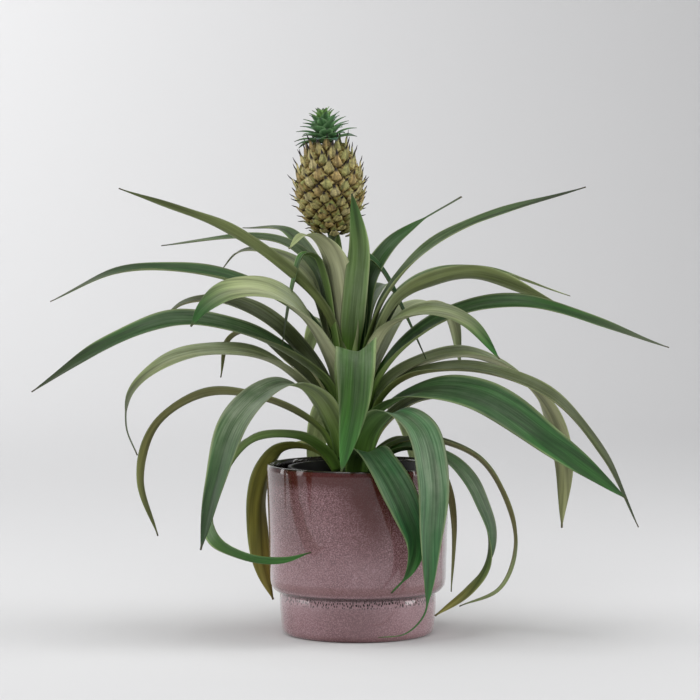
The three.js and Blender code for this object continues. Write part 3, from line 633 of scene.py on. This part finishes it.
# Living leaf skin: a waxy cuticle, satin above and duller below. Its veins are near 0.5 mm apart, drawn
# at 1.4 mm to show, with broader bands of lighter and darker green, and grey scurf lies in fine broken
# lines between them. Sizes are in millimetres.
vein_width, vein_length, band_width, band_length, scurf_patch = 1.4, 60, 6, 90, 30
leaf_skin, tree, shader = new_material("living leaf, waxy cuticle", IOR=1.4, Specular_IOR_Level=0.28)
where = add_node(tree, "TexCoord").outputs["Object"]
cuticle = add_node(tree, "Attribute", attribute_name="cuticle")
traits = add_node(tree, "Attribute", attribute_name="traits")
trait = add_node(tree, "SeparateColor", {"Color": traits.outputs["Color"]}).outputs
veins = grain_of(tree, stretched(tree, vein_width, vein_length), 1.0, 3, 0.65, noise_dimensions="2D")
broad = grain_of(tree, stretched(tree, band_width, band_length), 1.0, 2, noise_dimensions="2D")
veined = mixed(tree, trait["Red"], cuticle.outputs["Color"], mapped(tree, veins, 0.3, 0.7, 0.72, 1.25),
               "MULTIPLY")
broadened = mixed(tree, 1.0, veined, mapped(tree, broad, 0.3, 0.7, 0.62, 1.4), "MULTIPLY")
scurf = grain_of(tree, where, 1000 / scurf_patch, 5, 0.6)
scurf_seen = mapped(tree, product(tree, veins, scurf), 0.08, 0.46)
# The grey mix is scurf, and on the arches it is partly painted sheen.
scurfed = mixed(tree, product(tree, scurf_seen, trait["Green"]), broadened, linear("#a3ad96"))
rib_bump = add_node(tree, "Bump", {"Height": veins, "Strength": 0.3, "Distance": 0.0005})
feed(tree, shader, {"Base Color": scurfed, "Roughness": mapped(tree, trait["Blue"], low=0.62, high=0.42),
                    "Normal": rib_bump.outputs[0]})


def blend(a, b, part):
    """Colours a and b mixed by a share, point by point."""
    part = np.asarray(part)[:, None]
    return a * (1 - part) + b * part


def paint_blade(look, along, across, side):
    """The cuticle's colour at each point of a blade, and how strong its veins, scurf and gloss are."""
    edge_pale, young, dead = (np.array([linear(code)]) for code in ("#a3ad7c", "#567f22", "#4d4234"))
    upper, under, groove = (np.array([linear(look["skin"][part])]) for part in ("upper", "under", "groove"))
    middle = 1 - soft(np.abs(across), 0.1, 0.5)
    top = blend(upper, groove, 0.8 * middle)
    below = blend(under, under * 0.75, 0.5 * middle)
    colour = blend(below, top, side)
    colour = blend(colour, edge_pale, look.get("edge", 0.42) * soft(np.abs(across), 0.86, 0.97))
    colour = blend(colour, young, 0.75 * (1 - soft(along, 0.02, 0.22)))
    colour = blend(colour, np.array([linear(look["tip"])]), soft(along, 0.68, 0.96) * (0.6 + 0.4 * side))
    colour = blend(colour, dead, 0.8 * soft(along, 0.97, 1))
    # The grey on the arch, strongest on the upper side, is partly scurf and partly painted sheen; a thin
    # scurf lies everywhere.
    arch = soft(along, 0.1, 0.3) * (1 - soft(along, 0.45, 0.8))
    scurf = look["bloom"] * arch * (0.5 + 0.5 * side) + 0.06
    veins = 0.5 + 0.3 * side
    gloss = side * (1 - soft(along, 0.8, 1))
    return colour, np.stack([veins, scurf, gloss, np.ones(len(along))], 1)


# The flat maps lie side by side, so that no two leaves have the same veins.
flat_step = 97
for number, leaf in enumerate(leaves, 1):
    points, faces, along, across, side, flat = blade(leaf)
    look = dict(skin=skins[leaf.skin], tip=tips[leaf.tip], bloom=leaf.bloom)
    colour, traits = paint_blade(look, along, across, side)
    place(f"leaf_blade_{number:02d}", points, faces, leaf_skin, [f"leaf_{number:02d}"],
          {"cuticle": colour, "traits": traits}, np.asarray(flat) + [number * flat_step, 0])


# The stem: a stout stock, hidden among the leaf bases, and the fruit's stalk above it with a few narrow
# green bracts. All grown in one piece.
stem_heights = np.concatenate([np.arange(stem_root, 240, 5), np.arange(240, 321, 2.5), [stem_top]])
stem_sides = 28
stem_points, stem_faces = [], ring_faces(len(stem_heights), stem_sides)
for height in stem_heights:
    centre, radius = stem_place(height), stem_radius(height)
    for k in range(stem_sides):
        angle = 2 * math.pi * k / stem_sides
        ribbed = radius + 0.12 * math.sin(9 * angle + height / 7) + 0.1 * math.sin(height * 1.1)
        stem_points.append((centre[0] + ribbed * math.cos(angle), ribbed * math.sin(angle), height))
last = (len(stem_heights) - 1) * stem_sides
stem_faces += [tuple(reversed(range(stem_sides))), tuple(last + k for k in range(stem_sides))]
low_green, high_green = (np.array([linear(code)]) for code in ("#56762a", "#3a5226"))
stem_colours = blend(low_green, high_green, [float(soft(p[2], 220, 310)) for p in stem_points])
stem_traits = np.tile([0.3, 0.3, 0.3, 1], (len(stem_points), 1))


def short_blade(foot, out, up, outline, cup, turn=0.0, rings=9):
    """A small pointed leaf from outline rows of reach, rise, half width and half thickness.

    The cup is how far its edges bend back, and the turn is how far its tip swings sideways.
    """
    rows = np.array(outline, float)
    share = np.linspace(0, 1, len(rows))
    sideways = np.cross(up, out)
    points, alongs, acrosses, sides = [], [], [], []
    steps = np.array([-1, -0.6, -0.25, 0, 0.25, 0.6, 1])
    route = spline([(reach, rise, 0) for reach, rise, _, _ in rows], 8)
    for k in range(rings):
        t = k / (rings - 1)
        row = round(t * (len(route) - 1))
        half, thick = np.interp(t, share, rows[:, 2]), np.interp(t, share, rows[:, 3])
        step = route[min(len(route) - 1, row + 1)] - route[max(0, row - 1)]
        step = step / np.linalg.norm(step)
        keel = out * step[1] - up * step[0]
        for surface in (1, -1):
            for across in steps[::surface]:
                rise = thick * surface * (1 - 0.8 * abs(across)) - cup * half * abs(across) ** 1.3
                swing = sideways * (across * half + turn * t * t)
                points.append(foot + out * route[row][0] + up * route[row][1] + swing + keel * rise)
                alongs.append(t)
                acrosses.append(across)
                sides.append((1 - surface) / 2)
    loop = 2 * len(steps)
    faces = ring_faces(rings, loop)
    for first, flip in ((0, 1), ((rings - 1) * loop, -1)):
        for j in range(len(steps) - 1):
            a, b, c, d = first + j, first + j + 1, first + loop - 2 - j, first + loop - 1 - j
            faces.append((a, d, c, b)[::flip])
    return points, faces, np.array(alongs), np.array(acrosses), np.array(sides)


golden, upright = math.radians(137.508), np.array([0, 0, 1.0])
bracts, first_bract, bract_rise = 6, 262, 8
bract_outline = [(3.2, 0, 4.4, 0.8), (6.2, 9, 3.6, 0.6), (8.5, 19, 2.2, 0.5), (11.5, 27, 0.4, 0.4)]
bract_look = dict(skin=skins["fresh"], tip=tips["fresh"], bloom=0)
for index in range(bracts):
    angle = index * golden - 0.9
    out = np.array([math.cos(angle), math.sin(angle), 0])
    outline = [(reach, rise * (1 - 0.06 * index), half, thick) for reach, rise, half, thick in bract_outline]
    points, faces, along, across, side = short_blade(
        stem_place(first_bract + bract_rise * index), out, upright, outline, 0.3)
    colour, traits = paint_blade(bract_look, along * 0.7 + 0.15, across, side)
    stem_faces += [tuple(v + len(stem_points) for v in face) for face in faces]
    stem_points += points
    stem_colours = np.concatenate([stem_colours, colour])
    stem_traits = np.concatenate([stem_traits, traits])
stem_flat = [(math.atan2(p[1], p[0] - stem_x) * stock_radius, p[2]) for p in stem_points]
place("plant_stem", stem_points, stem_faces, leaf_skin, ["stem"],
      {"cuticle": stem_colours, "traits": stem_traits}, stem_flat)


# The fruit: many berries grown into one, whose eyes pack in 8 and 13 crossing spirals. Each eye is a
# swollen shield, and a papery bract lies over its lower half and dries to a dark hooked point.
fruit_eyes, fruit_height = 127, 70
fruit_radii = [11, 17.5, 21.8, 23.4, 22, 17, 10]
fruit_foot, fruit_turn = Vector((-20, 0, 321.5)), Matrix.Rotation(math.radians(-4), 3, "Y")


def uniform_spline(knots, per_span=20):
    """Dense points of the uniform Catmull-Rom curve through flat points, its ends held still."""
    p = [knots[0]] + list(knots) + [knots[-1]]
    out = []
    for k in range(1, len(p) - 2):
        v0, v1 = (p[k + 1] - p[k - 1]) / 2, (p[k + 2] - p[k]) / 2
        for t in np.arange(per_span) / per_span:
            out.append(p[k] + v0 * t + (3 * (p[k + 1] - p[k]) - 2 * v0 - v1) * t ** 2
                       + (2 * (p[k] - p[k + 1]) + v0 + v1) * t ** 3)
    return np.array(out + [p[-2]])


fruit_curve = uniform_spline(np.array([(step / (len(fruit_radii) - 1), radius)
                                       for step, radius in enumerate(fruit_radii)]))

# The next eye up the steep row is 13 eyes on, after 5 full turns, and the next up the other row is 8 eyes
# on, after 3.
steep, slow = 13, 8
steep_swing, slow_swing = steep * golden - 5 * 2 * math.pi, slow * golden - 3 * 2 * math.pi


def fruit_radius(share):
    """The fruit's radius at a share of its height."""
    return np.interp(share, fruit_curve[:, 0], fruit_curve[:, 1])


# An eye drifts outward, round the fruit and along it, each by the same fixed noise read in another place.
drift_grain, drift_most = 13, 2.2
drift_places = [Vector((9.3, 1.5, 7.9)), Vector((-5.2, 3.1, -8.6)), Vector((2.4, -6.7, 4.8))]


def eye_point(eye, a, b, rise):
    """A point of an eye's shield, at shares a and b of the way between its four corners."""
    share = min(1, max(0, (eye + 0.5 + steep * a + slow * b) / fruit_eyes))
    angle = eye * golden + a * steep_swing + b * slow_swing
    radius = fruit_radius(share)
    spot = Vector((radius * math.cos(angle), radius * math.sin(angle), share * fruit_height))
    drift = Vector([noise.noise(spot / drift_grain + drift_place) for drift_place in drift_places])
    drift *= drift_most * min(1, 6 * share * (1 - share))
    radius += rise + 0.5 * drift.x
    angle += drift.y / 22
    return np.array([radius * math.cos(angle), radius * math.sin(angle), spot.z + drift.z])


fruit_points, fruit_faces, fruit_colours = [], [], []
bract_points, bract_faces, bract_colours = [], [], []
grain = random.Random(5)
half_grid = [0.1, 0.21, 0.31, 0.39, 0.45, 0.5]
eye_grid = [-step for step in reversed(half_grid)] + [0] + half_grid
painted_seam_shade, rim_brown, skin_olive, skin_tan, horn = (
    np.array(linear(code)) for code in ("#150e08", "#8a6a33", "#6c7b3a", "#c2b67c", "#1f1416"))
for eye in range(fruit_eyes):
    share = (eye + 0.5) / fruit_eyes
    green = min(1, max(0, 0.7 - 0.35 * share + grain.uniform(-0.35, 0.35)))
    base_colour = skin_tan * (1 - green) + skin_olive * green
    first = len(fruit_points)
    for a in eye_grid:
        for b in eye_grid:
            d = max(abs(a), abs(b)) * 2
            fleck = noise.noise(Vector((eye * 1.9, a * 5, b * 5)))
            swell = 2.6 * (1 - float(soft(d, 0.45, 1)) ** 1.4) + 1.1 * (1 - d * d)
            wrinkle = 1.6 * noise.noise(Vector((eye * 3.7, a * 5, b * 5))) * (1 - d ** 4)
            fruit_points.append(eye_point(eye, a, b, swell + wrinkle))
            worn = 0.75 * float(soft(d + 0.6 * fleck, 0.4, 0.85))
            colour = base_colour * (1 - worn) + rim_brown * worn
            # The gaps between the eyes are painted shade, near black.
            seam_shade_part = float(soft(d + 0.25 * fleck, 0.78, 1))
            fruit_colours.append(colour * (1 - seam_shade_part) + painted_seam_shade * seam_shade_part)
    n = len(eye_grid)
    for i in range(n - 1):
        for j in range(n - 1):
            v = first + i * n + j
            fruit_faces.append((v, v + 1, v + n + 1, v + n))
    centre = eye_point(eye, 0, 0, 0)
    out = np.array([centre[0], centre[1], 0]) / math.hypot(centre[0], centre[1])
    lean = max(-0.3, (fruit_radius(share + 0.05) - fruit_radius(share - 0.05)) / (0.1 * fruit_height))
    rise_way = (out * lean + np.array([0, 0, 1])) / math.hypot(1, lean)
    face_way = (out - np.array([0, 0, lean])) / math.hypot(1, lean)
    curl = grain.choice((0.1, 0.4, 0.8, 1.2))
    hook, climb = 1 + 3.6 * curl, (0.8 + 5.5 * share) * (0.7 + 0.3 * curl)
    outline = [(0, -5.2, 2.6, 0.3), (2.9, -3.7, 4.1, 0.45), (4.5, -0.9, 3.4, 0.5),
               (4.8 + 0.2 * hook, 1.5 + 0.25 * climb, 1.7, 0.5),
               (4.9 + 0.65 * hook, 2.3 + 0.6 * climb, 0.9, 0.4), (5 + hook, 2.8 + climb, 0.15, 0.15)]
    points, faces, along, across, _ = short_blade(
        centre, face_way, rise_way, outline, 0.3, turn=grain.uniform(-2, 2), rings=16)
    paper = np.array(linear(grain.choice(("#bfb27e", "#b2a66c", "#a3a063", "#a8915c"))))
    streaks = {step: grain.uniform(0.4, 1.15) for step in sorted(set(across))}
    bract_faces += [tuple(v + len(bract_points) for v in face) for face in faces]
    bract_points += points
    for t, step, dried in zip(along, across, soft(along, 0.55, 0.74)):
        # Each bract darkens towards its foot, where it tucks against the rind: painted shade.
        body = paper * streaks[step] * (1 - 0.5 * float(soft(t, 0.25, 0)))
        bract_colours.append(body * (1 - dried) + horn * dried)

# The eyes' edges are joined into one rind, which is closed by a fan of faces at its foot and its top.
shell = bmesh.new()
tint = shell.verts.layers.float_color.new("rind")
made = []
for point, colour in zip(fruit_points, fruit_colours):
    vertex = shell.verts.new(point)
    vertex[tint] = colour
    made.append(vertex)
for face in fruit_faces:
    shell.faces.new([made[v] for v in face])
bmesh.ops.remove_doubles(shell, verts=shell.verts, dist=0.02)
bmesh.ops.dissolve_degenerate(shell, edges=shell.edges, dist=0.01)
folded = [f for f in shell.faces
          if abs(f.calc_center_median().z - fruit_height / 2) > fruit_height / 2 - 0.1]
bmesh.ops.delete(shell, geom=folded, context="FACES")
open_edges = [e for e in shell.edges if e.is_boundary]
# The fans at the foot and the top meet in hubs that carry the gaps' painted shade.
for end in (0, fruit_height):
    hub = shell.verts.new((0, 0, end))
    hub[tint] = painted_seam_shade
    for edge in open_edges:
        if abs(edge.verts[0].co.z - end) < fruit_height / 2:
            shell.faces.new((*edge.verts, hub))
bmesh.ops.recalc_face_normals(shell, faces=shell.faces)
if shell.calc_volume(signed=True) < 0:
    bmesh.ops.reverse_faces(shell, faces=shell.faces)
shell.verts.ensure_lookup_table()
shell.verts.index_update()
rind_points = [tuple(v.co) for v in shell.verts]
rind_faces = [tuple(v.index for v in f.verts) for f in shell.faces]
rind_colours = [tuple(v[tint]) for v in shell.verts]
rind_faces += [tuple(v + len(rind_points) for v in face) for face in bract_faces]
rind_points += [tuple(p) for p in bract_points]
rind_colours += [tuple(c) for c in bract_colours]
shell.free()
rind_points = [tuple(fruit_turn @ Vector(p) + fruit_foot) for p in rind_points]

# Pineapple rind: leathery and dull, olive in the eyes and tan to brown at their rims, with painted shade
# in the gaps between them, a fine mottle and pits near 2.2 mm.
mottle_size = 2.2
rind, tree, shader = new_material("pineapple rind and dry bracts", IOR=1.45)
where = add_node(tree, "TexCoord").outputs["Object"]
tinted = add_node(tree, "Attribute", attribute_name="rind")
mottle = grain_of(tree, where, 1000 / mottle_size, 4, 0.7)
mottled = mixed(tree, 1.0, tinted.outputs["Color"], mapped(tree, mottle, 0.3, 0.7, 0.5, 1.6), "MULTIPLY")
pit_bump = add_node(tree, "Bump", {"Height": mottle, "Strength": 0.5, "Distance": 0.0006})
feed(tree, shader, {"Base Color": mottled, "Roughness": mapped(tree, mottle, low=0.5, high=0.8),
                    "Normal": pit_bump.outputs[0]})
place("pineapple_fruit", rind_points, rind_faces, rind, ["fruit"], {"rind": rind_colours})


# The crown: a tuft of short blue-green leaves in a spiral on the fruit's top. The outer ones bend back to
# level, and the young ones in the middle stand up, paler.
crown_leaves, low_leaves, crown_steps = 36, 12, 9
outer_length, inner_length, outer_half, inner_half = 24, 15, 5.6, 4.2
outer_pitch, inner_pitch, recurve = 58, 4, math.radians(16)
young_skin = dict(upper="#7cae54", under="#8cbc64", groove="#80b256")
grown_skin = dict(upper="#56806a", under="#76a56c", groove="#4c7858")
core_outline, core_bevels = [(0, 0), (3, 0), (6, 1.5), (6, 6.8), (3.3, 13.6), (0, 17)], [0, 0.5, 1, 2, 2, 0]
crown_points, crown_faces = lathe(divided(rounded(core_outline, core_bevels), 2), 24)
crown_colours = np.tile(linear("#3c5a3a"), (len(crown_points), 1))
crown_traits = np.tile([0.2, 0.2, 0.3, 1], (len(crown_points), 1))
for index in range(-low_leaves, crown_leaves):
    share = index / (crown_leaves - 1)
    raised = max(share, 0)
    length = outer_length + (inner_length - outer_length) * raised
    half = outer_half + (inner_half - outer_half) * share
    pitch = math.radians(outer_pitch + (inner_pitch - outer_pitch) * share)
    x, z, outline = 3 + (0.6 - 3) * raised, max(0.7, 2.6 + 13 * share), []
    for step in range(crown_steps + 1):
        t = step / crown_steps
        width = np.interp(t, [0, 0.15, 0.4, 0.65, 0.82, 1], [0.85, 1, 1, 0.74, 0.42, 0.07])
        outline.append((x, z, half * width, 0.45 * (1 - 0.5 * t)))
        bend = pitch + recurve * (3 * t - 0.33)
        x, z = x + length / crown_steps * math.sin(bend), z + length / crown_steps * math.cos(bend)
    out = np.array([math.cos(index * golden), math.sin(index * golden), 0])
    points, faces, along, across, side = short_blade(
        np.zeros(3), out, upright, outline, 0.22, turn=0.6 * math.sin(index * 5), rings=10)
    look = dict(skin=young_skin if share > 0.7 else grown_skin, tip="#3a3640", bloom=0.35, edge=0.12)
    colour, traits = paint_blade(look, 0.22 + 0.74 * along, across, side)
    crown_faces += [tuple(v + len(crown_points) for v in face) for face in faces]
    crown_points += points
    crown_colours = np.concatenate([crown_colours, colour])
    crown_traits = np.concatenate([crown_traits, traits])
crown_foot = fruit_turn @ Vector((0, 0, fruit_height + gap)) + fruit_foot
crown_turn = Matrix.Rotation(math.radians(-8), 3, "Y")
crown_flat = [(math.atan2(p[1], p[0]) * 9, p[2]) for p in crown_points]
crown_points = [tuple(crown_turn @ Vector(p) + crown_foot) for p in crown_points]
place("fruit_crown", crown_points, crown_faces, leaf_skin, ["crown"],
      {"cuticle": crown_colours, "traits": crown_traits}, crown_flat)


# The studio: a pale seamless sweep, two tall soft lights at the sides whose reflections run down the
# glaze, one soft light above, one in front, one on the sweep's left behind, and an even pale surround.
# Lengths are in metres here.
floor_half, bend_start, bend_radius, sweep_top = 7, 1.9, 1.3, 5
sweep_line = [(-floor_half, 0), (bend_start, 0)]
sweep_line += [(bend_start + bend_radius * math.sin(a), bend_radius - bend_radius * math.cos(a))
               for a in np.linspace(0.1, math.pi / 2, 16)]
sweep_line += [(bend_start + bend_radius, sweep_top)]
sweep_points = [(x, y, z) for y, z in sweep_line for x in (-floor_half, floor_half)]
sweep_faces = [(2 * k, 2 * k + 1, 2 * k + 3, 2 * k + 2) for k in range(len(sweep_line) - 1)]
sweep_mesh = bpy.data.meshes.new("studio_sweep")
sweep_mesh.from_pydata(sweep_points, [], sweep_faces)
sweep_mesh.shade_smooth()

# Matt paper: an even pale grey with no gloss.
paper, tree, shader = new_material("matt studio paper", Roughness=0.9, IOR=1.3)
shader.inputs["Base Color"].default_value = linear("#d5d5d6")
sweep_mesh.materials.append(paper)
sweep = bpy.data.objects.new("studio_sweep", sweep_mesh)
bpy.context.scene.collection.objects.link(sweep)

world = bpy.data.worlds.new("pale surround")
world.use_nodes = True
surround = world.node_tree.nodes["Background"]
surround.inputs["Color"].default_value = linear("#eeeeee")
surround.inputs["Strength"].default_value = 0.34
bpy.context.scene.world = world


def soft_light(name, spot, aim, width, height, power):
    """A rectangular soft light at a spot, turned to its aim."""
    lamp = bpy.data.lights.new(name, "AREA")
    lamp.shape, lamp.size, lamp.size_y, lamp.energy = "RECTANGLE", width, height, power
    stand = bpy.data.objects.new(name, lamp)
    stand.location = spot
    stand.rotation_euler = (Vector(aim) - Vector(spot)).to_track_quat("-Z", "Y").to_euler()
    bpy.context.scene.collection.objects.link(stand)


soft_light("left_window", (-1.5, 0.1, 0.6), (0, 0, 0.2), 1.2, 1.3, 15)
soft_light("right_window", (1.5, -0.1, 0.6), (0, 0, 0.2), 0.8, 1.3, 15)
soft_light("overhead", (-0.1, -0.2, 1.9), (0, 0, 0.1), 1.3, 1.3, 15)
soft_light("front_fill", (-0.4, -1.9, 1.5), (0, 0, 0.2), 1.3, 1.0, 12)
soft_light("backdrop_light", (-1.5, 1.9, 2.2), (-0.9, 3.2, 1.1), 1.2, 1.0, 44)

# The camera has the photograph's viewing angle: a focal length of 3008 pixels on a picture 700 pixels wide.
focal_pixels, picture_pixels = 3008, 700
aim = Vector((-0.0064, 0, 0.227))
lens = bpy.data.cameras.new("camera")
lens.sensor_width = 36
lens.lens = focal_pixels / picture_pixels * lens.sensor_width
camera = bpy.data.objects.new("camera", lens)
camera.location = (aim.x, -2.4, 0.36)
camera.rotation_euler = (aim - camera.location).to_track_quat("-Z", "Y").to_euler()
bpy.context.scene.collection.objects.link(camera)
bpy.context.scene.camera = camera
bpy.context.scene.view_settings.view_transform = "Standard"
